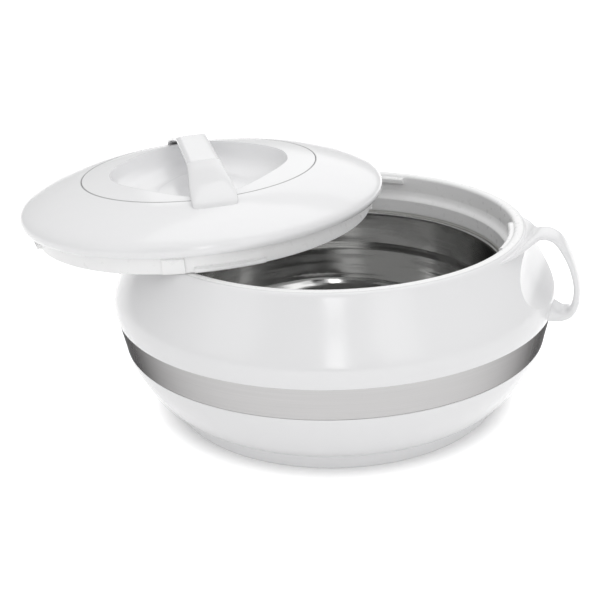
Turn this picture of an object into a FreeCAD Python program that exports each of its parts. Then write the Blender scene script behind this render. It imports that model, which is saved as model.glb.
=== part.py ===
import FreeCAD, Part
import math
import os

# Insulated casserole for flat breads, with a loose twist lid lying off centre on the open body.
# Frame: origin at the centre of the body's footprint, +Z up, ear handles along X, millimetres.

os.makedirs("parts", exist_ok=True)

# Driving sizes of the body
foot_radius = 97.5
foot_height = 9.4
crease_radius = 101.4
band_bottom_z = 43.8
band_bottom_radius = 123.9
band_top_z = 62.5
band_top_radius = 127.7
rim_top_z = 107.2
rim_seam_radius = 109.6
mouth_radius = 104.3
neck_radius = 101.0
neck_bottom_z = 82.6
shell_wall = 2.4
band_wall = 0.9
band_gap = 0.1
lap_gap = 0.15
foam_gap = 0.15

# Bayonet lugs on the mouth
lug_count = 4
lug_reach = 3.0
lug_span = 25.0
lug_centre = 3.0
lug_bottom_z = 101.8
lug_top_z = 105.2

# Steel bowl
steel_wall = 0.6
bowl_floor_z = 20.0
bowl_floor_radius = 72.0
bowl_corner = 22.0
bead_radius = 1.1
bowl_top_radius = 100.0
flange_reach = 104.6

# Ear handles
handle_width = 15.0
handle_root_width = 22.0
recess_radius = 35.0
recess_depth = 4.6
recess_level = 87.0
recess_half_length = 60.0
screw_shank = 3.2
screw_head = 6.4
screw_level = 65.2
screw_half_pitch = 4.5

# Driving sizes of the lid, measured from the bottom face of its plug
plug_radius = 98.6
plug_wall = 2.4
plug_height = 11.0
lid_edge_radius = 105.7
lid_edge_height = 11.2
opening_radius = 69.0
opening_height = 30.2
insert_gap = 0.2
insert_wall = 2.4
dish_half_length = 66.5
dish_half_width = 53.0
dish_floor = 18.0
dish_rim = 33.0
# Plan of the dish's edge, as shares of its half length and half width: full in the middle,
# nearly straight towards the strap's feet
dish_plan = [(0.0, 1.0), (0.2, 0.965), (0.43, 0.82), (0.66, 0.6), (0.86, 0.37), (0.965, 0.18), (1.0, 0.0)]
plate_recess = 8.6
plate_wall = 1.6
turn_gap = 0.3
foam_top = 15.2
lid_lug_reach = 2.3
lid_lug_span = 21.5
lid_lug_height = 3.4
tab_span = 7.0
tab_offset = -17.0
lug_turn = 1.5
tab_reach = 1.6
strap_foot_width = 26.0
strap_top_width = 20.5
strap_wall = 3.2
strap_corner = 3.0
strap_top = 44.6
strap_foot_radius = 79.6

# Where the loose lid lies on the rim
lid_shift = 78.0
lid_heading = 184.0
lid_turn = 30.0
lid_lean = 2.83
rest_gap = 0.4
rim_contact_radius = 108.0

ORIGIN = FreeCAD.Vector(0, 0, 0)
UP = FreeCAD.Vector(0, 0, 1)


def v(r, z):
    return FreeCAD.Vector(r, 0, z)


def line(a, b):
    return Part.LineSegment(v(*a), v(*b)).toShape()


def spline(points):
    curve = Part.BSplineCurve()
    curve.interpolate([v(*p) for p in points])
    return curve.toShape()


def path(*runs):
    """Edges of a closed profile: a run of two points is a line, a longer one a spline."""
    edges = []
    for run in runs:
        edges.append(line(*run) if len(run) == 2 else spline(run))
    return edges


def revolve(*runs):
    face = Part.Face(Part.Wire(Part.__sortEdges__(path(*runs))))
    return face.revolve(ORIGIN, UP, 360)


def polygon_edges(points):
    ring = list(points) + [points[0]]
    return [line(ring[i], ring[i + 1]) for i in range(len(points))]


def turned(points, start=0.0, span=360.0):
    """Solid of revolution of a closed polygon, over a span of degrees."""
    face = Part.Face(Part.Wire(polygon_edges(points)))
    solid = face.revolve(ORIGIN, UP, span)
    if start:
        solid.rotate(ORIGIN, UP, start)
    return solid


def offset(points, distance):
    """Points moved sideways from their polyline: positive moves to the left of its heading."""
    out = []
    for i, p in enumerate(points):
        a = points[max(i - 1, 0)]
        b = points[min(i + 1, len(points) - 1)]
        dx, dz = b[0] - a[0], b[1] - a[1]
        size = math.hypot(dx, dz)
        out.append((p[0] - dz / size * distance, p[1] + dx / size * distance))
    return out


def only_solid(shape):
    solids = sorted(shape.Solids, key=lambda s: -s.Volume)
    return solids[0]


def band_radius(z):
    share = (z - band_bottom_z) / (band_top_z - band_bottom_z)
    return band_bottom_radius + share * (band_top_radius - band_bottom_radius)


# Outer outline of the upper shell, from the band's top edge to the rim's seam
shoulder = [
    (band_top_radius, band_top_z),
    (band_top_radius + 0.8, band_top_z + 3.5),
    (band_top_radius + 0.9, band_top_z + 7.5),
    (band_top_radius + 0.1, band_top_z + 11.8),
    (band_top_radius - 1.9, band_top_z + 16.5),
    (band_top_radius - 4.7, band_top_z + 21.8),
    (band_top_radius - 8.0, band_top_z + 27.6),
    (band_top_radius - 11.3, band_top_z + 33.4),
    (band_top_radius - 14.0, band_top_z + 38.4),
    (band_top_radius - 15.5, band_top_z + 41.4),
    (band_top_radius - 16.6, rim_top_z - 1.3),
    (rim_seam_radius, rim_top_z - 0.3),
]
shoulder_inner = offset(shoulder[:-2], shell_wall)
skirt_low_z = band_bottom_z + 9.0
skirt_out_top = band_top_radius - band_wall - band_gap
skirt_out_low = band_radius(skirt_low_z) - band_wall - band_gap

upper_outline_top = (rim_seam_radius, rim_top_z - 3.2)
upper_shell = revolve(
    shoulder,
    [shoulder[-1], upper_outline_top],
    [upper_outline_top, shoulder_inner[-1]],
    shoulder_inner[::-1],
    [shoulder_inner[0], (skirt_out_low - shell_wall, skirt_low_z)],
    [(skirt_out_low - shell_wall, skirt_low_z), (skirt_out_low, skirt_low_z)],
    [(skirt_out_low, skirt_low_z), (skirt_out_top, band_top_z)],
    [(skirt_out_top, band_top_z), shoulder[0]],
)

# Everything inside the body's outer outline, used to trim the handles and recesses
outer_body = revolve(
    shoulder,
    [shoulder[-1], (0, rim_top_z - 0.3)],
    [(0, rim_top_z - 0.3), (0, band_top_z)],
    [(0, band_top_z), shoulder[0]],
)


def recess_tool(extra, side):
    """Cylinder that scoops the finger room under an ear handle."""
    z = recess_level
    k = min(range(1, len(shoulder) - 1), key=lambda i: abs(shoulder[i][1] - z))
    a, b = shoulder[k - 1], shoulder[k + 1]
    run, rise = b[0] - a[0], b[1] - a[1]
    size = math.hypot(run, rise)
    nr, nz = rise / size, -run / size
    r0 = a[0] + (z - a[1]) / rise * run
    reach = recess_radius - recess_depth
    start = FreeCAD.Vector(side * (r0 + nr * reach), -recess_half_length, z + nz * reach)
    along = FreeCAD.Vector(0, 1, 0)
    return Part.makeCylinder(recess_radius + extra, 2 * recess_half_length, start, along)


for side in (1, -1):
    pocket = recess_tool(shell_wall, side).common(outer_body)
    upper_shell = upper_shell.fuse(pocket).cut(recess_tool(0, side))

# Lower shell: bowl below the band, with a spigot behind the band and a lap inside the skirt
bowl_side = [
    (band_bottom_radius, band_bottom_z),
    (band_bottom_radius - 2.3, band_bottom_z - 7.2),
    (band_bottom_radius - 7.0, band_bottom_z - 16.6),
    (band_bottom_radius - 11.2, band_bottom_z - 23.2),
    (band_bottom_radius - 15.2, band_bottom_z - 28.4),
    (band_bottom_radius - 18.9, band_bottom_z - 31.9),
    (crease_radius, foot_height),
]
bowl_inner = offset(bowl_side, -shell_wall)
spigot_out = band_bottom_radius - band_wall - band_gap
spigot_top = band_radius(skirt_low_z) - band_wall - band_gap
lap_top_z = skirt_low_z + 6.0
lap_out = spigot_top - shell_wall - lap_gap
lap_in = lap_out - 1.6
plug_hole_radius = 9.0
lower_floor_z = foot_height + shell_wall
lower_shell = revolve(
    bowl_side,
    [bowl_side[-1], (plug_hole_radius, foot_height)],
    [(plug_hole_radius, foot_height), (plug_hole_radius, lower_floor_z)],
    [(plug_hole_radius, lower_floor_z), (bowl_inner[-1][0] - 2.0, lower_floor_z)],
    [(bowl_inner[-1][0] - 2.0, lower_floor_z), bowl_inner[-2]],
    bowl_inner[:-1],
    [bowl_inner[0], (lap_in, skirt_low_z - 2.0)],
    [(lap_in, skirt_low_z - 2.0), (lap_in, lap_top_z)],
    [(lap_in, lap_top_z), (lap_out, lap_top_z)],
    [(lap_out, lap_top_z), (lap_out, skirt_low_z)],
    [(lap_out, skirt_low_z), (spigot_top, skirt_low_z)],
    [(spigot_top, skirt_low_z), (spigot_out, band_bottom_z)],
    [(spigot_out, band_bottom_z), bowl_side[0]],
)

# Satin band laid in the groove between the two shells, a hair below their faces
band_low = (band_bottom_radius - 0.15, band_bottom_z + 0.05)
band_high = (band_top_radius - 0.15, band_top_z - 0.05)
silver_band = turned([
    band_low,
    band_high,
    (band_high[0] - band_wall + 0.2, band_high[1]),
    (band_low[0] - band_wall + 0.2, band_low[1]),
])

# Foot ring with the base cover under the lower shell
foot_wall = 2.6
cover_z = 2.2
foot_ring = turned([
    (foot_radius - 0.8, 0.0),
    (foot_radius, 0.8),
    (crease_radius - 0.6, foot_height),
    (crease_radius - 0.6 - foot_wall, foot_height),
    (foot_radius - foot_wall, cover_z + 2.0),
    (0.0, cover_z + 2.0),
    (0.0, cover_z),
    (foot_radius - 5.0, cover_z),
    (foot_radius - 5.0, 0.0),
])

# Plug that closes the hole through which the foam is poured
filler_plug = turned([
    (0.0, foot_height - 1.4),
    (plug_hole_radius + 3.0, foot_height - 1.4),
    (plug_hole_radius + 3.0, foot_height),
    (plug_hole_radius - lap_gap, foot_height),
    (plug_hole_radius - lap_gap, lower_floor_z - 0.2),
    (0.0, lower_floor_z - 0.2),
])

# Collar: rim, mouth wall, ledge and neck in one moulding
collar_wall = 2.2
ledge_top_z = 96.5
ledge_z = 90.8
collar_outer = [
    (rim_seam_radius, rim_top_z - 3.2),
    (mouth_radius + collar_wall, rim_top_z - 3.8),
    (mouth_radius + collar_wall, ledge_top_z - 1.5),
    (neck_radius + collar_wall + 0.3, ledge_z - 1.2),
    (neck_radius + collar_wall, neck_bottom_z),
]
collar_inner = [
    (neck_radius, ledge_z),
    (neck_radius + 0.5, ledge_z + 0.9),
    (neck_radius + 1.9, ledge_z + 2.2),
    (mouth_radius - 0.4, ledge_z + 4.0),
    (mouth_radius, ledge_top_z),
]
rim_roll = [
    (mouth_radius, rim_top_z - 2.0),
    (mouth_radius + 0.5, rim_top_z - 0.8),
    (mouth_radius + 1.7, rim_top_z - 0.15),
    (mouth_radius + 3.5, rim_top_z),
    (rim_seam_radius, rim_top_z - 0.3),
]
neck_collar = revolve(
    rim_roll,
    [rim_roll[-1], collar_outer[0]],
    [collar_outer[0], collar_outer[1]],
    [collar_outer[1], collar_outer[2]],
    [collar_outer[2], collar_outer[3]],
    [collar_outer[3], collar_outer[4]],
    [collar_outer[4], (neck_radius, neck_bottom_z)],
    [(neck_radius, neck_bottom_z), collar_inner[0]],
    collar_inner,
    [collar_inner[-1], rim_roll[0]],
)
for k in range(lug_count):
    start = lug_centre + 360.0 / lug_count * k - lug_span / 2
    lug = turned([
        (mouth_radius + 0.6, lug_bottom_z - 0.6),
        (mouth_radius - lug_reach, lug_bottom_z),
        (mouth_radius - lug_reach, lug_top_z - 0.9),
        (mouth_radius - lug_reach + 0.9, lug_top_z),
        (mouth_radius + 0.6, lug_top_z),
    ], start, lug_span)
    neck_collar = neck_collar.fuse(lug)
neck_collar = neck_collar.removeSplitter()

# Steel bowl with a rolled bead just under the neck and a flange that the foam holds
bead_z = neck_bottom_z - 1.4 - bead_radius
wall_low_r = bowl_floor_radius + bowl_corner
out_side = [
    (bowl_top_radius - 0.4, bead_z - 0.8),
    (bowl_top_radius - 1.2, bead_z - 12.0),
    (bowl_top_radius - 2.4, bead_z - 26.0),
    (wall_low_r + 1.6, bowl_floor_z + bowl_corner + 2.0),
    (wall_low_r - 3.2, bowl_floor_z + bowl_corner * 0.45),
    (bowl_floor_radius + bowl_corner * 0.52, bowl_floor_z + bowl_corner * 0.12),
    (bowl_floor_radius, bowl_floor_z),
]
in_side = offset(out_side, -steel_wall)
in_side[-1] = (bowl_floor_radius, bowl_floor_z + steel_wall)
steel_shell = revolve(
    out_side,
    [out_side[-1], (0, bowl_floor_z)],
    [(0, bowl_floor_z), (0, bowl_floor_z + steel_wall)],
    [(0, bowl_floor_z + steel_wall), in_side[-1]],
    in_side[::-1],
    [in_side[0], out_side[0]],
)
bead_face = Part.Face(Part.Wire(Part.makeCircle(
    bead_radius, v(bowl_top_radius + 0.1, bead_z), FreeCAD.Vector(0, 1, 0))))
bead = bead_face.revolve(ORIGIN, UP, 360)
flange = turned([
    (bowl_top_radius + 0.2, bead_z - 0.1),
    (flange_reach, bead_z - 0.1),
    (flange_reach, bead_z + 0.5),
    (bowl_top_radius + 0.2, bead_z + 0.5),
])
steel_bowl = steel_shell.fuse(bead).fuse(flange)

# Sealing ring between the flange and the neck
bowl_seal = turned([
    (neck_radius + 0.9, bead_z + 0.5),
    (flange_reach, bead_z + 0.5),
    (flange_reach, neck_bottom_z),
    (neck_radius + 0.9, neck_bottom_z),
])

# Ear handles: a D-shaped strap in the XZ plane
centre_line = [
    (110.4, 104.6),
    (115.4, 108.6),
    (120.2, 109.9),
    (124.8, 109.8),
    (129.8, 106.6),
    (134.5, 99.9),
    (138.0, 92.8),
    (140.6, 84.6),
    (141.4, 77.4),
    (140.7, 70.2),
    (138.0, 65.2),
    (133.6, 63.4),
    (126.0, 65.4),
]
handle_walls = [2.0, 2.0, 2.1, 2.1, 2.1, 1.9, 1.8, 1.8, 1.9, 2.2, 2.8, 3.6, 4.6]
outside = [offset(centre_line, w)[i] for i, w in enumerate(handle_walls)]
inside = [offset(centre_line, -w)[i] for i, w in enumerate(handle_walls)]
loop_edges = path(outside, [outside[-1], inside[-1]], inside[::-1], [inside[0], outside[0]])
loop_face = Part.Face(Part.Wire(Part.__sortEdges__(loop_edges)))


def taper_tool(side):
    """Block whose width grows towards the roots, so the strap flares where it meets the body."""
    a = handle_width / 2
    b = handle_root_width / 2
    xs = (100.0, 118.0, 134.0, 150.0)
    ws = (b, b, a, a)
    pts = [FreeCAD.Vector(x, w, 0) for x, w in zip(xs, ws)]
    pts += [FreeCAD.Vector(x, -w, 0) for x, w in zip(xs[::-1], ws[::-1])]
    face = Part.Face(Part.makePolygon(pts + [pts[0]]))
    block = face.extrude(FreeCAD.Vector(0, 0, 130))
    return block


full = loop_face.copy()
full.translate(FreeCAD.Vector(0, -handle_root_width / 2, 0))
full = full.extrude(FreeCAD.Vector(0, handle_root_width, 0))
band_clear = turned([
    (0, band_bottom_z),
    (0, band_top_z + 0.3),
    (band_top_radius + 0.2, band_top_z + 0.3),
    (band_bottom_radius + 0.1, band_bottom_z),
])
one_handle = full.common(taper_tool(1)).cut(outer_body).cut(band_clear)
one_handle = only_solid(one_handle)

# Screws that pull each handle's lower root against the shell from inside
screw_tip = band_top_radius + 4.6
screw_seat = band_top_radius + 0.8 - shell_wall


def screw(y, grow=0.0):
    shank = Part.makeCylinder(
        screw_shank / 2 + grow, screw_tip + grow - screw_seat,
        FreeCAD.Vector(screw_seat, y, screw_level), FreeCAD.Vector(1, 0, 0))
    head = Part.makeCylinder(
        screw_head / 2 + grow, 2.2 + grow,
        FreeCAD.Vector(screw_seat - 2.2 - grow, y, screw_level), FreeCAD.Vector(1, 0, 0))
    return shank.fuse(head)


screws = []
for y in (-screw_half_pitch, screw_half_pitch):
    one = screw(y)
    bore = Part.makeCylinder(
        screw_shank / 2, 30, FreeCAD.Vector(100, y, screw_level), FreeCAD.Vector(1, 0, 0))
    tip = Part.makeCylinder(
        screw_shank / 2, screw_tip - 100,
        FreeCAD.Vector(100, y, screw_level), FreeCAD.Vector(1, 0, 0))
    head = Part.makeCylinder(
        screw_head / 2 + 0.4, 8,
        FreeCAD.Vector(screw_seat - 8, y, screw_level), FreeCAD.Vector(1, 0, 0))
    one_handle = one_handle.cut(tip)
    screws.append(one)
    for flip in (0, 180):
        through, room = bore.copy(), head.copy()
        through.rotate(ORIGIN, UP, flip)
        room.rotate(ORIGIN, UP, flip)
        upper_shell = upper_shell.cut(through).cut(room)
right_handle = one_handle
left_handle = one_handle.copy()
left_handle.rotate(ORIGIN, UP, 180)
handle_screws = []
for one in screws:
    other = one.copy()
    other.rotate(ORIGIN, UP, 180)
    handle_screws += [one, other]
handle_screws = Part.makeCompound(handle_screws)
upper_shell = only_solid(upper_shell)

# Foam between the steel bowl and the outer shells
foam_side = offset(bowl_inner[:-1], -foam_gap)
foam_floor_z = lower_floor_z + foam_gap
foam_bowl = offset(out_side, foam_gap)
foam_bowl[-1] = (bowl_floor_radius, bowl_floor_z - foam_gap)
foam_neck_r = neck_radius + collar_wall + foam_gap
foam_mouth_r = mouth_radius + collar_wall + foam_gap
foam_flange_r = flange_reach + foam_gap
under_bead_z = bead_z - bead_radius - foam_gap - 0.3
flange_low_z = bead_z - 0.1 - foam_gap
foam_shell = [p for p in offset(shoulder_inner, foam_gap) if lap_top_z + 4 < p[1] < ledge_top_z + 3]
foam_top_z = foam_shell[-1][1]
body_foam = revolve(
    foam_side,
    [foam_side[-1], (bowl_inner[-1][0] - 2.6, foam_floor_z)],
    [(bowl_inner[-1][0] - 2.6, foam_floor_z), (0, foam_floor_z)],
    [(0, foam_floor_z), (0, bowl_floor_z - foam_gap)],
    [(0, bowl_floor_z - foam_gap), foam_bowl[-1]],
    foam_bowl[1:][::-1],
    [foam_bowl[1], (bowl_top_radius + 0.3, under_bead_z - 2.0)],
    [(bowl_top_radius + 0.3, under_bead_z - 2.0), (bowl_top_radius + 1.8, under_bead_z)],
    [(bowl_top_radius + 1.8, under_bead_z), (bowl_top_radius + 1.8, flange_low_z)],
    [(bowl_top_radius + 1.8, flange_low_z), (foam_flange_r, flange_low_z)],
    [(foam_flange_r, flange_low_z), (foam_flange_r, neck_bottom_z + 0.6)],
    [(foam_flange_r, neck_bottom_z + 0.6), (foam_flange_r, ledge_z - 1.6)],
    [(foam_flange_r, ledge_z - 1.6), (foam_mouth_r, ledge_top_z - 1.5)],
    [(foam_mouth_r, ledge_top_z - 1.5), (foam_mouth_r, foam_top_z)],
    [(foam_mouth_r, foam_top_z), foam_shell[-1]],
    foam_shell[::-1],
    [foam_shell[0], (lap_in - foam_gap, lap_top_z + 1.0)],
    [(lap_in - foam_gap, lap_top_z + 1.0), (lap_in - foam_gap, skirt_low_z - 2.2)],
    [(lap_in - foam_gap, skirt_low_z - 2.2), foam_side[0]],
)
for side in (1, -1):
    body_foam = body_foam.cut(recess_tool(shell_wall + foam_gap + 0.1, side))
for y in (-screw_half_pitch, screw_half_pitch):
    room = Part.makeCylinder(
        screw_head / 2 + 0.4, 30,
        FreeCAD.Vector(screw_seat - 2.4, y, screw_level), FreeCAD.Vector(1, 0, 0))
    for flip in (0, 180):
        cut = room.copy()
        cut.rotate(ORIGIN, UP, flip)
        body_foam = body_foam.cut(cut)
body_foam = only_solid(body_foam)

# The lid, built upright about its own axis from the plug's bottom face
dome = [
    (lid_edge_radius, lid_edge_height),
    (lid_edge_radius + 0.9, lid_edge_height + 1.6),
    (lid_edge_radius + 1.1, lid_edge_height + 3.8),
    (lid_edge_radius + 0.2, lid_edge_height + 6.0),
    (lid_edge_radius - 2.3, lid_edge_height + 8.2),
    (lid_edge_radius - 6.7, lid_edge_height + 10.5),
    (lid_edge_radius - 13.7, lid_edge_height + 13.4),
    (lid_edge_radius - 21.7, lid_edge_height + 15.9),
    (lid_edge_radius - 29.7, lid_edge_height + 17.9),
    (opening_radius, opening_height),
]
dome_inner = offset(dome, shell_wall)
ledge_drop = 2.6
ledge_in = opening_radius - 2.0
lip_in = lid_edge_radius - shell_wall
lid_cover = revolve(
    dome,
    [dome[-1], (opening_radius, opening_height - ledge_drop)],
    [(opening_radius, opening_height - ledge_drop), (ledge_in, opening_height - ledge_drop)],
    [(ledge_in, opening_height - ledge_drop), (ledge_in, opening_height - ledge_drop - 1.6)],
    [(ledge_in, opening_height - ledge_drop - 1.6), (dome_inner[-2][0], dome_inner[-2][1])],
    dome_inner[2:-1][::-1],
    [dome_inner[2], (lip_in, lid_edge_height + 3.4)],
    [(lip_in, lid_edge_height + 3.4), (lip_in, lid_edge_height)],
    [(lip_in, lid_edge_height), dome[0]],
)

# Insert with its oval dish
crown = [
    (opening_radius - insert_gap, opening_height),
    (opening_radius - 7.0, opening_height + 0.9),
    (opening_radius - 19.0, opening_height + 1.8),
    (opening_radius - 39.0, opening_height + 2.4),
    (0.0, opening_height + 2.6),
]
crown_low = [(r, z - insert_wall) for r, z in crown]
seat_z = opening_height - ledge_drop
block = revolve(
    crown,
    [crown[-1], (0, 8.0)],
    [(0, 8.0), (ledge_in - insert_gap, 8.0)],
    [(ledge_in - insert_gap, 8.0), (ledge_in - insert_gap, seat_z + insert_gap)],
    [(ledge_in - insert_gap, seat_z + insert_gap), (opening_radius - insert_gap, seat_z + insert_gap)],
    [(opening_radius - insert_gap, seat_z + insert_gap), crown[0]],
)
skin = revolve(
    crown,
    [crown[-1], crown_low[-1]],
    crown_low[::-1],
    [crown_low[0], crown[0]],
)


def dish(grow):
    """Bowl with an eye-shaped plan: steep wall, rounded foot, flat floor."""
    rings = [
        (0.0, dish_rim),
        (1.6, dish_rim - 4.0 - grow),
        (3.6, dish_rim - 8.0 - grow),
        (7.2, dish_rim - 11.2 - grow),
        (13.0, dish_floor + 1.8 - grow),
        (20.0, dish_floor + 0.5 - grow),
        (28.0, dish_floor - grow),
    ]
    wires = []
    for inset, z in rings:
        long_half = dish_half_length + grow - inset
        cross_half = dish_half_width + grow - inset
        corner = [(t * long_half, f * cross_half) for t, f in dish_plan]
        loop = [FreeCAD.Vector(x, y, z) for y, x in corner]
        loop += [FreeCAD.Vector(-x, y, z) for y, x in corner[-2::-1]]
        loop += [FreeCAD.Vector(-x, -y, z) for y, x in corner[1:]]
        loop += [FreeCAD.Vector(x, -y, z) for y, x in corner[-2:0:-1]]
        oval = Part.BSplineCurve()
        oval.interpolate(loop, True)
        wires.append(Part.Wire(oval.toShape()))
    return Part.makeLoft(wires, True, False)


lid_insert = skin.fuse(dish(insert_wall).common(block)).cut(dish(0))
lid_insert = only_solid(lid_insert)

# Strap handle that bridges the dish from front to back
strap_line = [
    (strap_foot_radius + 0.8, 27.0),
    (strap_foot_radius - 1.2, 29.6),
    (strap_foot_radius - 7.0, 31.9),
    (strap_foot_radius - 19.0, 35.2),
    (strap_foot_radius - 37.0, 39.4),
    (strap_foot_radius - 58.0, strap_top - 1.5),
]
over = strap_line + [(0.0, strap_top)] + [(-r, z) for r, z in strap_line[::-1]]
under_line = [
    (strap_foot_radius - 5.6, 27.2),
    (strap_foot_radius - 8.0, 28.2),
    (strap_foot_radius - 13.0, 29.8),
    (strap_foot_radius - 21.0, 32.1),
    (strap_foot_radius - 37.0, 36.0),
    (strap_foot_radius - 58.0, strap_top - strap_wall - 1.5),
]
under = under_line + [(0.0, strap_top - strap_wall)] + [(-r, z) for r, z in under_line[::-1]]


def yz(p):
    return FreeCAD.Vector(0, p[0], p[1])


def yz_spline(points):
    curve = Part.BSplineCurve()
    curve.interpolate([yz(p) for p in points])
    return curve.toShape()


low_out = [(over[-1][0], 20.0), (under[-1][0], 20.0)]
low_in = [(under[0][0], 20.0), (over[0][0], 20.0)]
strap_edges = [
    yz_spline(over),
    Part.LineSegment(yz(over[-1]), yz(low_out[0])).toShape(),
    Part.LineSegment(yz(low_out[0]), yz(low_out[1])).toShape(),
    Part.LineSegment(yz(low_out[1]), yz(under[-1])).toShape(),
    yz_spline(under),
    Part.LineSegment(yz(under[0]), yz(low_in[0])).toShape(),
    Part.LineSegment(yz(low_in[0]), yz(low_in[1])).toShape(),
    Part.LineSegment(yz(low_in[1]), yz(over[0])).toShape(),
]
strap_face = Part.Face(Part.Wire(Part.__sortEdges__(strap_edges)))
strap = strap_face.copy()
strap.translate(FreeCAD.Vector(-strap_foot_width / 2, 0, 0))
strap = strap.extrude(FreeCAD.Vector(strap_foot_width, 0, 0))


def strap_plan():
    """Block that narrows the strap from its feet to its top and rounds the feet's corners."""
    end = strap_foot_radius + 0.9
    a, b, c = strap_foot_width / 2, strap_top_width / 2, strap_corner
    mid = (a + b) / 2 + 0.25
    quarter = [
        (b, 0.0), (b + 0.15, end * 0.16), (mid, end * 0.5), (a, end - 2.0 * c), (a, end - c),
        (a - 0.29 * c, end - 0.29 * c), (a - c, end),
    ]
    ring = quarter + [(-x, y) for x, y in quarter[::-1]]
    ring += [(-x, -y) for x, y in quarter[1:]] + [(x, -y) for x, y in quarter[:0:-1]]
    pts = [FreeCAD.Vector(x, y, 15.0) for x, y in ring]
    return Part.Face(Part.makePolygon(pts + [pts[0]])).extrude(FreeCAD.Vector(0, 0, 40.0))


under_dome = revolve(
    dome,
    [dome[-1], (0, opening_height + 0.001)],
    [(0, opening_height + 0.001), (0, 5.0)],
    [(0, 5.0), (lid_edge_radius, 5.0)],
    [(lid_edge_radius, 5.0), dome[0]],
)
lid_handle = only_solid(strap.common(strap_plan()).cut(under_dome).cut(block))

# Screws through the cover into the strap's feet
strap_screw_radius = strap_foot_radius - 5.5
strap_screws = []
for y in (-strap_screw_radius, strap_screw_radius):
    for x in (-6.5, 6.5):
        base_z = 26.2
        shank = Part.makeCylinder(screw_shank / 2, 4.0, FreeCAD.Vector(x, y, base_z), UP)
        head = Part.makeCylinder(
            screw_head / 2, 2.0, FreeCAD.Vector(x, y, base_z - 2.0), UP)
        room = Part.makeCylinder(
            screw_head / 2 + 0.3, 6.0, FreeCAD.Vector(x, y, base_z - 6.0), UP)
        strap_screws.append(shank.fuse(head))
        lid_cover = lid_cover.cut(shank).cut(room)
        lid_handle = lid_handle.cut(shank)
lid_handle_screws = Part.makeCompound(strap_screws)

# Plug ring: wall, flange inside the cover's edge, lugs and the stop tab
flange_top = plug_height + 2.2
plug_ring = turned([
    (plug_radius - plug_wall, 0.5),
    (plug_radius - plug_wall + 0.5, 0.0),
    (plug_radius - 0.5, 0.0),
    (plug_radius, 0.5),
    (plug_radius, plug_height),
    (lip_in - lap_gap, plug_height),
    (lip_in - lap_gap, flange_top),
    (plug_radius - plug_wall, flange_top),
])
for k in range(lug_count):
    mid = lug_turn - 90.0 + 360.0 / lug_count * k
    lug = turned([
        (plug_radius - 0.6, 0.5),
        (plug_radius + lid_lug_reach - 0.5, 0.5),
        (plug_radius + lid_lug_reach, 1.0),
        (plug_radius + lid_lug_reach, lid_lug_height - 0.6),
        (plug_radius - 0.6, lid_lug_height),
    ], mid - lid_lug_span / 2, lid_lug_span)
    tab = turned([
        (plug_radius - 0.6, 0.5),
        (plug_radius + tab_reach, 0.5),
        (plug_radius + tab_reach, plug_height - 2.6),
        (plug_radius - 0.6, plug_height - 1.0),
    ], mid + tab_offset - tab_span / 2, tab_span)
    plug_ring = plug_ring.fuse(lug).fuse(tab)
plug_ring = plug_ring.removeSplitter()
lid_plug_ring = plug_ring

# Inner plate that closes the plug from below, on a small ledge of the ring
plate_gap = 0.1
lid_inner_plate = turned([
    (0.0, plate_recess),
    (plug_radius - plug_wall - plate_gap, plate_recess),
    (plug_radius - plug_wall - plate_gap, plate_recess + plate_wall + 1.2),
    (plug_radius - plug_wall - plate_gap - 1.4, plate_recess + plate_wall + 1.2),
    (plug_radius - plug_wall - plate_gap - 1.4, plate_recess + plate_wall),
    (0.0, plate_recess + plate_wall),
])

# Foam disc in the lid: round, so the lid's shell can turn about it
foam_low = plate_recess + plate_wall + turn_gap
foam_edge = plug_radius - plug_wall - plate_gap - 1.4 - turn_gap
lid_foam = turned([
    (0.0, foam_low),
    (foam_edge, foam_low),
    (foam_edge, foam_top),
    (0.0, foam_top),
])

# Screws that hold the plug ring to bosses of the cover
ring_screws = []
boss_radius = plug_radius + 2.3
for k in range(lug_count):
    a = math.radians(-45.0 + 360.0 / lug_count * k)
    at = FreeCAD.Vector(boss_radius * math.cos(a), boss_radius * math.sin(a), 0)
    boss = Part.makeCylinder(3.2, 12.0, at + FreeCAD.Vector(0, 0, flange_top), UP)
    boss = boss.common(under_dome)
    shank = Part.makeCylinder(1.25, 6.5, at + FreeCAD.Vector(0, 0, plug_height), UP)
    head = Part.makeCylinder(2.2, 1.0, at + FreeCAD.Vector(0, 0, plug_height - 1.0), UP)
    lid_cover = lid_cover.fuse(boss).cut(shank)
    lid_plug_ring = lid_plug_ring.cut(shank)
    ring_screws.append(shank.fuse(head))
lid_cover = only_solid(lid_cover)
lid_plug_ring = only_solid(lid_plug_ring)
lid_plug_screws = Part.makeCompound(ring_screws)

# Lay the lid on the rim: its plug crosses the rim at two points, its plate rests further out
heading = math.radians(lid_heading)
lean = math.radians(lid_lean)
out_x, out_y = math.cos(heading), math.sin(heading)
chord = (rim_contact_radius ** 2 - plug_radius ** 2 + lid_shift ** 2) / (2 * lid_shift)
lid_z = rim_top_z + rest_gap - (lid_shift - chord) * math.tan(lean)


def laid(shape):
    s = shape.copy()
    s.rotate(ORIGIN, UP, lid_turn)
    s.rotate(ORIGIN, FreeCAD.Vector(-out_y, out_x, 0), lid_lean)
    s.translate(FreeCAD.Vector(out_x * lid_shift, out_y * lid_shift, lid_z))
    return s


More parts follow.
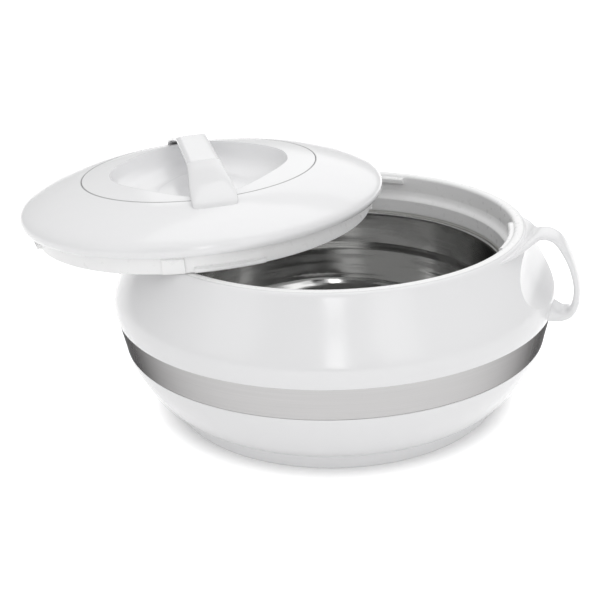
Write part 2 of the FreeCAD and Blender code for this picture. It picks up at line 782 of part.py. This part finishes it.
pieces = {
    "upper_shell": upper_shell,
    "neck_collar": neck_collar,
    "silver_band": silver_band,
    "lower_shell": lower_shell,
    "foot_ring": foot_ring,
    "filler_plug": filler_plug,
    "steel_bowl": steel_bowl,
    "bowl_seal": bowl_seal,
    "body_foam": body_foam,
    "right_handle": right_handle,
    "left_handle": left_handle,
    "handle_screws": handle_screws,
    "lid_cover": laid(lid_cover),
    "lid_insert": laid(lid_insert),
    "lid_handle": laid(lid_handle),
    "lid_handle_screws": laid(lid_handle_screws),
    "lid_plug_ring": laid(lid_plug_ring),
    "lid_plug_screws": laid(lid_plug_screws),
    "lid_inner_plate": laid(lid_inner_plate),
    "lid_foam": laid(lid_foam),
}

print("lid centre", out_x * lid_shift, out_y * lid_shift, lid_z)
axis = (math.sin(lean) * out_x, math.sin(lean) * out_y, math.cos(lean))
print("lid axis", axis)
for name, shape in pieces.items():
    ok = shape.isValid() and all(s.isClosed() for s in shape.Solids)
    print(name, len(shape.Solids), "valid" if ok else "INVALID", round(shape.Volume))
    shape.exportStep("parts/" + name + ".step")
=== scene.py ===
# %% [markdown]
# This file dresses a low, round insulated casserole for flat breads. The real
# pot is a white moulded body with a drawn steel bowl inside, a satin silver
# band round its widest part, two ear handles, and a domed lid that lies off
# centre over the rim. The measured model comes in first as a fixed frame.
# Every piece made here stands where that frame says, in metres.

# %% Frame
import math

import bmesh
import bpy
from mathutils import Matrix, Vector


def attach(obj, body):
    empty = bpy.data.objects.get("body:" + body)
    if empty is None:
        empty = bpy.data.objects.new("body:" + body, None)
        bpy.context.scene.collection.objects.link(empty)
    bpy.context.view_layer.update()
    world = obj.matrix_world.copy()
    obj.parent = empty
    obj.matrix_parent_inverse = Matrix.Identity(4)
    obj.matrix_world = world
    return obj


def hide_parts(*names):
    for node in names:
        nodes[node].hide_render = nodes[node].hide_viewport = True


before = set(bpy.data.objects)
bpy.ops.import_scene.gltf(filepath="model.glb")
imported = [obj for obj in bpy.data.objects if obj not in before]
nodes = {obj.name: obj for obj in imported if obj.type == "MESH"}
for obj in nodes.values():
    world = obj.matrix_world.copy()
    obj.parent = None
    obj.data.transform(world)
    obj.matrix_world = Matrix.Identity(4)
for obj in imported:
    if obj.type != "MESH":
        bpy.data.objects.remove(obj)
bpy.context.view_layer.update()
MM = 0.001
print("pieces in the frame:", len(nodes))

# %% [markdown]
# The lid lies askew: its middle is 78 mm from the pot's axis, and it leans
# 2.8 degrees outwards. One matrix carries points from the lid's own upright
# frame, in mm, to that place. The alternative is to model each piece of the
# lid already tilted, which makes every number in it hard to read.

# %% Where the lid lies
lid_middle = Vector((-77.81, -5.441, 106.2875))
lid_heading = math.radians(184.0)
lid_lean = math.radians(2.83)
strap_turn = math.radians(30.4)
lean_axis = Vector((-math.sin(lid_heading), math.cos(lid_heading), 0.0))
lid_place = (Matrix.Translation(lid_middle) @ Matrix.Rotation(lid_lean, 4, lean_axis)
             @ Matrix.Rotation(strap_turn, 4, "Z"))
print("lid's axis:", [round(c, 4) for c in lid_place.to_3x3() @ Vector((0, 0, 1))])

# %% [markdown]
# Colours are easiest to read as the hex codes that any paint program shows.
# The renderer works in linear light, so one function turns a code into it.
# A second function adds a shader node with its settings and links, which
# keeps every material below down to a few readable lines.

# %% Colour and node helpers
def linear(code):
    """The linear colour of an sRGB hex code."""
    parts = [int(code[i:i + 2], 16) / 255 for i in (1, 3, 5)]
    return [c / 12.92 if c <= 0.04045 else ((c + 0.055) / 1.055) ** 2.4 for c in parts] + [1.0]


def add(tree, kind, settings=None, **links):
    """Adds a node. Settings are properties or inputs by name, and links are
    inputs fed by outputs. An input without a name of its own is i0, i1 or i2."""
    node = tree.nodes.new(kind)
    for name, value in (settings or {}).items():
        if hasattr(node, name):
            setattr(node, name, value)
        else:
            node.inputs[name].default_value = value
    for name, output in links.items():
        key = name.replace("_", " ")
        socket = node.inputs[key] if key in node.inputs else node.inputs[int(key.strip("i"))]
        tree.links.new(output, socket)
    return node


def blank_material(name):
    """An empty node material with its output, ready for a shader."""
    mat = bpy.data.materials.new(name)
    mat.use_nodes = True
    mat.node_tree.nodes.clear()
    out = mat.node_tree.nodes.new("ShaderNodeOutputMaterial")
    return mat, mat.node_tree, out


# A Mix node has a set of sockets for each kind of value. These are its colours.
MIX_FIRST, MIX_SECOND, MIX_RESULT = 6, 7, 2
pure_white = linear("#FFFFFF")
print("mid grey in linear light:", round(linear("#808080")[0], 3))

# %% [markdown]
# The lid's insert drops into its cover and leaves a gap of 0.2 mm all round. That gap is in the
# measured pieces, but it is too fine to show, so the material paints the shade that falls in it
# as a grey line up to 1.4 mm wide. The line is a circle about the lid's own axis, so the place of
# each point is first carried back to the lid's upright frame.

# %% Painted shade where the lid's insert meets its cover
insert_radius = 69.0
line_core, line_edge = 0.25, 0.7


def painted_parting_shade(tree, place, code):
    """White that falls off into a line of painted shade where the lid's insert meets its cover.
    """
    upright = add(tree, "ShaderNodeMapping", {
        "vector_type": "TEXTURE", "Location": lid_middle * MM, "Rotation": lid_place.to_euler(),
    }, Vector=place)
    parts = add(tree, "ShaderNodeSeparateXYZ", Vector=upright.outputs[0])
    flat = add(tree, "ShaderNodeCombineXYZ", X=parts.outputs["X"], Y=parts.outputs["Y"])
    radius = add(tree, "ShaderNodeVectorMath", {"operation": "LENGTH"}, i0=flat.outputs[0])
    off = add(tree, "ShaderNodeMath", {"operation": "SUBTRACT"}, i0=radius.outputs["Value"])
    off.inputs[1].default_value = insert_radius * MM
    away = add(tree, "ShaderNodeMath", {"operation": "ABSOLUTE"}, i0=off.outputs[0])
    share = add(tree, "ShaderNodeMapRange", {
        "From Min": line_core * MM, "From Max": line_edge * MM, "To Min": 1.0, "To Max": 0.0,
    }, Value=away.outputs[0])
    shade = add(tree, "ShaderNodeMix", {"data_type": "RGBA"})
    tree.links.new(share.outputs["Result"], shade.inputs["Factor"])
    shade.inputs[MIX_FIRST].default_value = linear(code)
    # The grey of the painted shade in the gap.
    shade.inputs[MIX_SECOND].default_value = linear("#B2B2B3")
    return shade.outputs[MIX_RESULT]


print("line round the insert:", 2 * insert_radius, "mm across")

# %% [markdown]
# The shells, handles and lid are polypropylene, moulded in polished steel
# tools. That gives the eye a clean white with sharp reflections that swim a
# little, because the wall shrinks unevenly as it cools. The swim is a very
# low bump about 30 mm across. A second, fine noise makes the gloss uneven,
# as handling does. Rounding every edge in the mesh is the other way to soften
# them. Here the shader does it, so the measured pieces keep their shape.

# %% Moulded polypropylene
swim_mm = 30.0
handling_marks_mm = 4.0


def moulded_plastic(name, code, roughness, parting=False):
    """Glossy moulded plastic with a slow swim in its reflections and softened edges."""
    mat, tree, out = blank_material(name)
    place = add(tree, "ShaderNodeTexCoord").outputs["Object"]
    swim = add(tree, "ShaderNodeTexNoise", {"Scale": 1 / (swim_mm * MM), "Detail": 1.0},
               Vector=place)
    marks = add(tree, "ShaderNodeTexNoise", {
        "Scale": 1 / (handling_marks_mm * MM), "Detail": 3.0,
    }, Vector=place)
    gloss = add(tree, "ShaderNodeMapRange", {
        "From Min": 0.3, "From Max": 0.7, "To Min": roughness * 0.85, "To Max": roughness * 1.2,
    }, Value=marks.outputs["Fac"])
    # A mould leaves no sharp edge: the light sees a radius of about 0.6 mm.
    edge = add(tree, "ShaderNodeBevel", {"samples": 4, "Radius": 0.6 * MM})
    bump = add(tree, "ShaderNodeBump", {"Strength": 0.05, "Distance": 0.2 * MM},
               Height=swim.outputs["Fac"], Normal=edge.outputs["Normal"])
    skin = add(tree, "ShaderNodeBsdfPrincipled", {
        "Base Color": linear(code), "IOR": 1.49,
    }, Roughness=gloss.outputs["Result"], Normal=bump.outputs["Normal"])
    if parting:
        tree.links.new(painted_parting_shade(tree, place, code), skin.inputs["Base Color"])
    tree.links.new(skin.outputs[0], out.inputs[0])
    print(name, code, "roughness", roughness)
    return mat


shell_white = moulded_plastic("glossy_white_polypropylene", "#EEEEEF", 0.16)
# The lid's white carries the painted shade line round its insert.
lid_white = moulded_plastic("lid_white_polypropylene", "#F1F1F2", 0.14, parting=True)
strap_white = moulded_plastic("strap_white_polypropylene", "#EAEAEB", 0.14)
# The collar and the lid's plug ring are the same polypropylene as the shell. They are painted
# whiter than it so that they read lighter where they sit in shade: painted light.
collar_white_lightened_against_shade = moulded_plastic("collar_white_polypropylene", "#F8F8F8", 0.3)
inner_white = moulded_plastic("plain_white_polypropylene", "#E6E6E6", 0.4)

# %% [markdown]
# The band is aluminium foil on a plastic hoop, brushed along its length and
# anodised, so it has a soft sheen that streaks round the pot. Real brush
# lines are about 0.1 mm apart. They are drawn 0.5 mm apart to show at all.
# In the photograph the band goes dark towards its ends. A colour that follows the camera could
# copy that, but it would slide in every other view. The shader's own edge tint is used instead.
# It is matched to the picture and is much darker than the edge tint of real aluminium.

# %% Brushed anodised aluminium
brush_line_mm = 0.5
streaks_per_metre = 12.0


def brushed_band():
    """Satin aluminium with brush lines that run round the pot."""
    mat, tree, out = blank_material("brushed_anodised_aluminium")
    place = add(tree, "ShaderNodeTexCoord").outputs["Object"]
    stretch = add(tree, "ShaderNodeMapping", {
        "Scale": (streaks_per_metre, streaks_per_metre, 1 / (brush_line_mm * MM)),
    }, Vector=place)
    lines = add(tree, "ShaderNodeTexNoise", {"Scale": 1.0, "Detail": 2.0},
                Vector=stretch.outputs[0])
    tint = add(tree, "ShaderNodeMix", {"data_type": "RGBA"})
    tree.links.new(lines.outputs["Fac"], tint.inputs["Factor"])
    tint.inputs[MIX_FIRST].default_value = linear("#A9A8A8")
    tint.inputs[MIX_SECOND].default_value = linear("#B5B4B4")
    bump = add(tree, "ShaderNodeBump", {"Strength": 0.15, "Distance": 0.05 * MM},
               Height=lines.outputs["Fac"])
    skin = add(tree, "ShaderNodeBsdfPrincipled", {
        "Metallic": 1.0, "Roughness": 0.3, "Anisotropic": 0.4, "Specular Tint": linear("#181818"),
    }, Base_Color=tint.outputs[MIX_RESULT], Normal=bump.outputs["Normal"])
    tree.links.new(skin.outputs[0], out.inputs[0])
    return mat


band_metal = brushed_band()
print(band_metal.name, len(band_metal.node_tree.nodes), "nodes")

# %% [markdown]
# The bowl is stainless steel, drawn from one sheet and polished on a lathe.
# The polishing leaves fine rings, which pull every reflection out into a
# streak. Real rings are too fine to see, about 0.05 mm apart, so they are
# drawn 0.8 mm apart. Steel has hardly any colour of its own: the dark in it
# is what it reflects, here mostly the flag in the world further down.

# %% Drawn stainless steel
ring_mm = 0.8
step_mm = 1000 / 150
flute_stretch = 14.0


def bowl_flutes(tree, flat, radius, parts):
    """Low flutes of the drawn sheet, about 65 mm apart round the wall. They are
    drawn much deeper than real ones, so that they break up the reflection."""
    way = add(tree, "ShaderNodeVectorMath", {"operation": "NORMALIZE"}, i0=flat.outputs[0])
    depth = add(tree, "ShaderNodeMath", {"operation": "MULTIPLY"}, i0=parts.outputs["Z"])
    depth.inputs[1].default_value = flute_stretch
    reach = add(tree, "ShaderNodeMath", {"operation": "MULTIPLY"}, i0=radius.outputs["Value"])
    reach.inputs[1].default_value = flute_stretch
    sunk = add(tree, "ShaderNodeCombineXYZ", X=reach.outputs[0], Z=depth.outputs[0])
    flute_place = add(tree, "ShaderNodeVectorMath", {"operation": "ADD"},
                      i0=way.outputs[0], i1=sunk.outputs[0])
    flutes = add(tree, "ShaderNodeTexNoise", {"Scale": 1.5, "Detail": 0.5, "Roughness": 0.4},
                 Vector=flute_place.outputs[0])
    return add(tree, "ShaderNodeBump", {"Strength": 0.6, "Distance": 4.0 * MM},
               Height=flutes.outputs["Fac"])


def drawn_steel():
    """Polished steel with fine rings round the bowl's axis."""
    mat, tree, out = blank_material("drawn_stainless_steel")
    place = add(tree, "ShaderNodeTexCoord").outputs["Object"]
    parts = add(tree, "ShaderNodeSeparateXYZ", Vector=place)
    flat = add(tree, "ShaderNodeCombineXYZ", X=parts.outputs["X"], Y=parts.outputs["Y"])
    radius = add(tree, "ShaderNodeVectorMath", {"operation": "LENGTH"}, i0=flat.outputs[0])
    ring_place = add(tree, "ShaderNodeCombineXYZ", X=radius.outputs["Value"],
                     Y=parts.outputs["Z"])
    rings = add(tree, "ShaderNodeTexNoise", {"Scale": 1 / (ring_mm * MM), "Detail": 2.0},
                Vector=ring_place.outputs[0])
    # Use rubs the gloss unevenly, in clouds about 17 mm across.
    rub = add(tree, "ShaderNodeTexNoise", {"Scale": 60.0, "Detail": 3.0}, Vector=place)
    gloss = add(tree, "ShaderNodeMapRange", {
        "From Min": 0.3, "From Max": 0.7, "To Min": 0.09, "To Max": 0.15,
    }, Value=rub.outputs["Fac"])
    pucker = bowl_flutes(tree, flat, radius, parts)
    # Spinning leaves broad steps as well, about 7 mm apart up the wall.
    steps = add(tree, "ShaderNodeTexNoise", {"Scale": 1 / (step_mm * MM), "Detail": 1.5},
                Vector=ring_place.outputs[0])
    wave = add(tree, "ShaderNodeBump", {"Strength": 0.32, "Distance": 0.9 * MM},
               Height=steps.outputs["Fac"], Normal=pucker.outputs["Normal"])
    bump = add(tree, "ShaderNodeBump", {"Strength": 0.12, "Distance": 0.05 * MM},
               Height=rings.outputs["Fac"], Normal=wave.outputs["Normal"])
    skin = add(tree, "ShaderNodeBsdfPrincipled", {
        "Metallic": 1.0, "Base Color": linear("#BDBDBC"), "Anisotropic": 0.7,
    }, Roughness=gloss.outputs["Result"], Normal=bump.outputs["Normal"])
    tree.links.new(skin.outputs[0], out.inputs[0])
    return mat


bowl_steel = drawn_steel()
print(bowl_steel.name, len(bowl_steel.node_tree.nodes), "nodes")

# %% [markdown]
# The pieces inside hardly show, but each still gets its own finish: zinc
# plated screws, a silicone seal, and polyurethane foam with its closed cells
# of about a millimetre.

# %% Inner finishes
def plated_zinc():
    """Zinc plating: a dull metal with a cloudy gloss."""
    mat, tree, out = blank_material("zinc_plated_steel")
    place = add(tree, "ShaderNodeTexCoord").outputs["Object"]
    # The clouds are about 1.4 mm across.
    cloud = add(tree, "ShaderNodeTexNoise", {"Scale": 700.0, "Detail": 3.0}, Vector=place)
    gloss = add(tree, "ShaderNodeMapRange", {"To Min": 0.25, "To Max": 0.45},
                Value=cloud.outputs["Fac"])
    skin = add(tree, "ShaderNodeBsdfPrincipled", {
        "Metallic": 1.0, "Base Color": linear("#B4B6BA"),
    }, Roughness=gloss.outputs["Result"])
    tree.links.new(skin.outputs[0], out.inputs[0])
    return mat


def foamed(name, code, cell_mm):
    """Rigid foam or soft silicone: matt, with a small grain."""
    mat, tree, out = blank_material(name)
    place = add(tree, "ShaderNodeTexCoord").outputs["Object"]
    cells = add(tree, "ShaderNodeTexVoronoi", {"Scale": 1 / (cell_mm * MM)}, Vector=place)
    bump = add(tree, "ShaderNodeBump", {"Strength": 0.3, "Distance": 0.2 * MM},
               Height=cells.outputs["Distance"])
    skin = add(tree, "ShaderNodeBsdfPrincipled", {
        "Base Color": linear(code), "Roughness": 0.75,
    }, Normal=bump.outputs["Normal"])
    tree.links.new(skin.outputs[0], out.inputs[0])
    print(name, "grain", cell_mm, "mm")
    return mat


screw_zinc = plated_zinc()
seal_silicone = foamed("moulded_silicone", "#DCDCD8", 3.0)
poured_foam = foamed("polyurethane_foam", "#EFE7C8", 1.0)

# %% [markdown]
# The carried-over pieces keep their measured shape and shading and get these
# finishes. A table from piece to finish is easier to check against the object
# than a line of code for each one.

# %% Finishes on the measured pieces
finish = {
    "upper_shell": shell_white, "lower_shell": shell_white, "foot_ring": shell_white,
    "neck_collar": collar_white_lightened_against_shade, "silver_band": band_metal, "steel_bowl": bowl_steel,
    "bowl_seal": seal_silicone, "body_foam": poured_foam, "lid_foam": poured_foam,
    "filler_plug": inner_white, "lid_inner_plate": inner_white,
    "right_handle": shell_white, "left_handle": shell_white,
    "handle_screws": screw_zinc, "lid_handle_screws": screw_zinc, "lid_plug_screws": screw_zinc,
    "lid_cover": lid_white, "lid_insert": lid_white, "lid_handle": strap_white,
    "lid_plug_ring": collar_white_lightened_against_shade,
}
for name, mat in finish.items():
    for material_slot in nodes[name].material_slots:
        material_slot.material = mat
    print(name, "->", mat.name, len(nodes[name].data.vertices), "points")

# %% [markdown]
# The strap and the two ear handles are what a hand touches, so on the real
# pot their edges are rounded and they swell where they meet the body. A cut
# solid shows sharp edges, so these three are swept again as smooth tubes: a
# rounded flat section is carried along a curve, and its width and thickness
# change on the way. A Blender curve with a bevel could do this too, but it
# keeps one section all the way. First comes the curve itself.

# %% Smooth curve through points
def through(points, steps):
    """Points on a smooth curve through the given ones, as equal shares of each span."""
    ends = [2 * points[0] - points[1]] + list(points) + [2 * points[-1] - points[-2]]
    out = []
    for k in range(1, len(ends) - 2):
        p0, p1, p2, p3 = ends[k - 1:k + 3]
        for n in range(steps):
            t = n / steps
            out.append(0.5 * (2 * p1 + (p2 - p0) * t + (2 * p0 - 5 * p1 + 4 * p2 - p3) * t * t
                              + (3 * p1 - p0 - 3 * p2 + p3) * t ** 3))
    out.append(points[-1])
    return out


def through_sizes(sizes, steps):
    """Widths or thicknesses that change as smoothly as the curve does."""
    return [v.x for v in through([Vector((size, 0, 0)) for size in sizes], steps)]


print("a smooth rise from 1 to 3:", [round(v, 2) for v in through_sizes([1.0, 2.0, 3.0], 2)])

# %% [markdown]
# The section of a moulded strap is flat with rounded edges, which is neither
# an ellipse nor a box. A superellipse gives both ends with one number: at 2 it
# is an ellipse, and as it grows the sides go flat. The points of each section
# are joined to the next one's, and a fan closes each end.

# %% Sweeping a flat section
section_points = 28
section_power = 3.2


def rounded_section(width, thick):
    """Points of a flat section with round edges, in its own plane."""
    out = []
    for n in range(section_points):
        a = 2 * math.pi * n / section_points
        c, s = math.cos(a), math.sin(a)
        out.append((math.copysign(abs(c) ** (2 / section_power), c) * width / 2,
                    math.copysign(abs(s) ** (2 / section_power), s) * thick / 2))
    return out


def swept_points(middle, widths, thicks, across):
    """The points of a tube along middle, flat across the given direction."""
    verts = []
    for k, p in enumerate(middle):
        ahead = (middle[min(k + 1, len(middle) - 1)] - middle[max(k - 1, 0)]).normalized()
        out = ahead.cross(across).normalized()
        for w, t in rounded_section(widths[k], thicks[k]):
            verts.append(p + across * w + out * t)
    return verts


def tube_faces(verts, sections):
    """The faces of the tube. A point is added to verts for the fan at each end."""
    count = section_points
    faces = []
    for k in range(sections - 1):
        for n in range(count):
            a, b = k * count + n, k * count + (n + 1) % count
            faces.append((a, b, b + count, a + count))
    for first, flip in ((0, True), ((sections - 1) * count, False)):
        hub = len(verts)
        verts.append(sum((verts[first + n] for n in range(count)), Vector()) / count)
        for n in range(count):
            a, b = first + n, first + (n + 1) % count
            faces.append((hub, b, a) if flip else (hub, a, b))
    return faces


print("points in a section:", len(rounded_section(20.0, 4.0)))

# %% [markdown]
# Each tube becomes a piece that takes the place of a measured one: it rides on the same body, so
# it follows the joints, and the measured node that it replaces is hidden.

# %% Making a piece of it
def sweep(name, middle, widths, thicks, across, mat, node, body, bend=None):
    """A smooth tube as a piece of the model, bent by a function if one is given."""
    verts = swept_points(middle, widths, thicks, across)
    faces = tube_faces(verts, len(middle))
    if bend:
        verts = [bend(p) for p in verts]
    mesh = bpy.data.meshes.new(name)
    mesh.from_pydata([v * MM for v in verts], [], faces)
    mesh.validate()
    outward = bmesh.new()
    outward.from_mesh(mesh)
    bmesh.ops.recalc_face_normals(outward, faces=outward.faces)
    outward.to_mesh(mesh)
    outward.free()
    for face in mesh.polygons:
        face.use_smooth = True
    obj = bpy.data.objects.new(name, mesh)
    bpy.context.scene.collection.objects.link(obj)
    mesh.materials.append(mat)
    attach(obj, body)
    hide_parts(node)
    spans = [max(v[i] for v in verts) - min(v[i] for v in verts) for i in range(3)]
    print(name, "spans", [round(span, 1) for span in spans], "mm")


# %% [markdown]
# Each ear handle is a D-shaped loop, moulded apart and screwed to the shell
# from inside. Its upper root spreads out along the round rim and thins to
# nothing, so the wide part is bent round the rim's circle after the sweep,
# while the loop that a hand holds stays straight. The left one is the mirror
# of the right one.

# %% Ear handles
# Out from the pot's axis and up, in mm, from the root on the rim to the lower one.
ear_line = [
    (107.6, 103.4), (110.6, 104.0), (113.0, 104.9), (115.2, 106.2), (117.2, 107.7),
    (120.2, 109.3), (124.8, 109.4), (129.8, 106.6), (134.5, 99.9), (138.0, 92.8),
    (140.6, 84.6), (141.4, 77.4), (140.7, 70.2), (138.0, 65.6), (133.6, 63.9),
    (128.6, 64.6), (123.5, 66.5),
]
ear_wide = [96.0, 90.0, 74.0, 50.0, 29.0, 18.5, 16.0, 14.6, 14.2,
            14.0, 14.0, 14.0, 14.2, 15.0, 17.0, 20.0, 24.0]
ear_thick = [2.4, 2.6, 2.8, 3.2, 3.8, 4.2, 4.2, 4.1, 3.8, 3.6, 3.6, 3.8, 4.4, 5.4, 6.6, 8.4, 10.5]
ear_steps = 6
rim_radius = 110.5
root_above = 95.0
root_ends, root_fade = 116.0, 5.0
root_reach = 100.0


def ear_handle(name, side, node):
    """One D-shaped loop on its side of the pot; its upper root spreads along the round rim."""
    line = through([Vector((side * x, 0.0, z)) for x, z in ear_line], ear_steps)
    wide = through_sizes(ear_wide, ear_steps)
    thick = through_sizes(ear_thick, ear_steps)

    def hug(p):
        """The wide root follows the rim's circle; the free loop stays straight."""
        free = min(max((side * p.x - root_ends) / root_fade, 0.0), 1.0)
        hold = 1.0 - free if p.z > root_above else 0.0
        inward = rim_radius - math.sqrt(rim_radius ** 2 - min(abs(p.y), root_reach) ** 2)
        return Vector((p.x - side * inward * hold, p.y, p.z))

    sweep(name, line, wide, thick, Vector((0, 1, 0)),
          shell_white, node, "pot", hug)


ear_handle("right_ear_loop", 1, "right_handle")
ear_handle("left_ear_loop", -1, "left_handle")

# %% [markdown]
# The strap bridges the dish in the lid: two sloping legs and a nearly flat
# grip, with a soft crease where they meet. It is drawn upright in the lid's
# own frame and then carried to where the lid lies.

# %% Strap over the lid's dish
# Along from the lid's axis and up, in mm, for one half. The other half mirrors it.
half_arch = [(78.6, 24.0), (78.3, 26.6), (76.8, 29.2), (72.0, 31.6), (60.5, 35.2), (46.0, 38.4),
             (36.0, 40.3), (33.8, 40.75), (32.6, 40.9), (31.0, 40.95), (20.0, 41.0), (0.0, 41.0)]
half_wide = [20.0, 22.0, 24.2, 24.6, 23.2, 20.6, 19.1, 18.9, 18.8, 18.7, 18.5, 18.4]
strap_thick = 3.4
strap_steps = 8
arch = half_arch + [(-s, h) for s, h in half_arch[-2::-1]]
arch_wide = half_wide + half_wide[-2::-1]
arch_line = through([lid_place @ Vector((0.0, s, h)) for s, h in arch], strap_steps)
strap_wide = through_sizes(arch_wide, strap_steps)
strap_across = (lid_place.to_3x3() @ Vector((1, 0, 0))).normalized()
sweep("lid_strap", arch_line, strap_wide, [strap_thick] * len(arch_line), strap_across,
      strap_white, "lid_handle", "lid")

# %% [markdown]
# The pot stands on a plain pale table. A white table under soft light still renders as grey, and
# more light would burn out the white pot. So the table gets a little light of its own, which only
# the camera, reflections and rays through glass see. Close to the foot most of that light is
# taken away, in a ring from 99 to 114 mm out from the pot's axis. This is a painted shadow round
# the foot, on top of the real one that the lamps cast.

# %% Floor
table_half = 6.0
glow_in_painted_foot_shadow, table_glow = 0.1, 0.64
# The painted shadow is full within 99 mm of the pot's axis and gone at 114 mm.
painted_foot_shadow_fades_from, painted_foot_shadow_gone_at = 0.099, 0.114


def flat_plane(name, half, z):
    """A square lying flat at height z."""
    mesh = bpy.data.meshes.new(name)
    corners = [(-half, -half, z), (half, -half, z), (half, half, z), (-half, half, z)]
    mesh.from_pydata(corners, [], [(0, 1, 2, 3)])
    obj = bpy.data.objects.new(name, mesh)
    bpy.context.scene.collection.objects.link(obj)
    return obj


def pale_table():
    """A matt white sheet that reads as pure white to the eye, keeps the soft shadow, and has a
    painted shadow round the foot.
    """
    mat, tree, out = blank_material("matt_white_sheet")
    seen = add(tree, "ShaderNodeLightPath")
    rays = add(tree, "ShaderNodeMath", {"operation": "MAXIMUM"},
               i0=seen.outputs["Is Camera Ray"], i1=seen.outputs["Is Glossy Ray"])
    all_rays = add(tree, "ShaderNodeMath", {"operation": "MAXIMUM"},
                   i0=rays.outputs[0], i1=seen.outputs["Is Transmission Ray"])
    place = add(tree, "ShaderNodeTexCoord").outputs["Object"]
    out_from = add(tree, "ShaderNodeVectorMath", {"operation": "LENGTH"}, i0=place)
    # Less glow close to the foot paints a shadow round it.
    fade = add(tree, "ShaderNodeMapRange", {
        "From Min": painted_foot_shadow_fades_from, "From Max": painted_foot_shadow_gone_at,
        "To Min": glow_in_painted_foot_shadow, "To Max": table_glow,
    }, Value=out_from.outputs["Value"])
    lift = add(tree, "ShaderNodeMath", {"operation": "MULTIPLY"}, i0=all_rays.outputs[0],
               i1=fade.outputs["Result"])
    skin = add(tree, "ShaderNodeBsdfPrincipled", {
        "Base Color": linear("#F6F6F6"), "Roughness": 0.9, "Specular IOR Level": 0.0,
        "Emission Color": pure_white,
    }, Emission_Strength=lift.outputs[0])
    tree.links.new(skin.outputs[0], out.inputs[0])
    return mat


table_top = flat_plane("table_top", table_half, 0.0)
table_top.data.materials.append(pale_table())
print("table:", 2 * table_half, "m across")

# %% [markdown]
# The world is the room: white to the camera, and an even pale grey to the
# light that falls on the pot. A steel bowl in an all-white room looks white,
# so a studio puts up a dark flag for it to reflect. This one stands behind
# the camera, and only reflections see it. The diffuse light on the white
# mouldings stays as it is, although their gloss reflects the flag too. The
# flag is matched to one photograph: from above, the bowl's wall turns almost
# black, and in other light the steel is much brighter.

# %% World
room_low, room_high = 0.57, 0.65
flag_way = (0.31, -0.86, 0.40)
# Cosines of the angle from the flag's middle, where it starts and where it is full.
flag_starts, flag_full = 0.7, 0.84
flag_dark, flag_gap = 0.05, 0.9

world = bpy.data.worlds.new("studio")
bpy.context.scene.world = world
world.use_nodes = True
sky = world.node_tree
sky.nodes.clear()
seen = add(sky, "ShaderNodeLightPath")
look = add(sky, "ShaderNodeTexCoord").outputs["Generated"]
turn = add(sky, "ShaderNodeSeparateXYZ", Vector=look)
height = add(sky, "ShaderNodeMapRange", {
    "From Min": 0.0, "From Max": 0.9, "To Min": room_low, "To Max": room_high,
}, Value=turn.outputs["Z"])
side = add(sky, "ShaderNodeVectorMath", {"operation": "DOT_PRODUCT"}, i0=look)
side.inputs[1].default_value = flag_way
# The flag isn't even: gaps in it let streaks of the bright room through.
gaps = add(sky, "ShaderNodeTexNoise", {"Scale": 4.5, "Detail": 1.0}, Vector=look)
leak = add(sky, "ShaderNodeMapRange", {
    "From Min": 0.52, "From Max": 0.6, "To Min": flag_dark, "To Max": flag_gap,
}, Value=gaps.outputs["Fac"])
flag = add(sky, "ShaderNodeMapRange", {
    "From Min": flag_starts, "From Max": flag_full, "To Min": 1.0,
}, Value=side.outputs["Value"], To_Max=leak.outputs["Result"])
shaded = add(sky, "ShaderNodeMapRange", {"To Min": 1.0}, Value=seen.outputs["Is Glossy Ray"],
             To_Max=flag.outputs["Result"])
level = add(sky, "ShaderNodeMath", {"operation": "MULTIPLY"}, i0=height.outputs["Result"],
            i1=shaded.outputs["Result"])
room = add(sky, "ShaderNodeBackground", {"Color": pure_white}, Strength=level.outputs[0])
backdrop = add(sky, "ShaderNodeBackground", {"Color": pure_white, "Strength": 1.0})
pick = add(sky, "ShaderNodeMixShader", i0=seen.outputs["Is Camera Ray"],
           i1=room.outputs[0], i2=backdrop.outputs[0])
add(sky, "ShaderNodeOutputWorld", Surface=pick.outputs[0])
print("room level:", room_low, "to", room_high, "of white")

# %% [markdown]
# Five soft lamps shape the pot. A wide one overhead does most of the work, a
# low one at the back lights the far side of the lid, and three at the front
# round off the body. The narrow strip is the upright highlight on the shell.

# %% Lamps
def softbox(name, place, size, power):
    """A rectangular area lamp that looks at the middle of the pot."""
    data = bpy.data.lights.new(name, "AREA")
    data.shape = "RECTANGLE"
    data.size, data.size_y = size
    data.energy = power
    obj = bpy.data.objects.new(name, data)
    obj.location = place
    aim = Vector(pot_middle) - Vector(place)
    obj.rotation_euler = aim.to_track_quat("-Z", "Y").to_euler()
    bpy.context.scene.collection.objects.link(obj)
    print("lamp", name, power, "W")


pot_middle = (0.0, 0.0, 0.07)
softbox("overhead", (0.1, 0.4, 1.45), (1.6, 1.2), 6.4)
softbox("back", (-0.1, 1.5, 0.8), (1.8, 0.8), 2.8)
softbox("front_left", (-0.9, -1.2, 0.9), (0.8, 1.0), 1.3)
softbox("front_right", (1.2, -1.0, 0.8), (0.6, 0.9), 2.1)
softbox("front_strip", (0.45, -1.35, 0.62), (0.25, 0.7), 2.2)

# %% [markdown]
# The camera stands about 0.7 m away and 0.3 m up, a little to the right, as
# a product photographer would hold it. Its place and turn were worked out
# from the circles of the rim, the band and the foot in the photograph.

# %% Camera
lens = bpy.data.cameras.new("photo_view")
lens.sensor_width = 36.0
lens.lens = 66.886
camera = bpy.data.objects.new("photo_view", lens)
camera.location = (190.5 * MM, -586.3 * MM, 311.3 * MM)
camera.rotation_euler = [math.radians(a) for a in (67.6946, 1.9944, 19.0413)]
bpy.context.scene.collection.objects.link(camera)
bpy.context.scene.camera = camera
bpy.context.scene.view_settings.view_transform = "Standard"
print("camera to the pot's middle:", round((camera.location - Vector(pot_middle)).length, 3), "m")

# %% [markdown]
# Last, the scene is brought up to date.

# %% Bringing the scene up to date
bpy.context.view_layer.update()
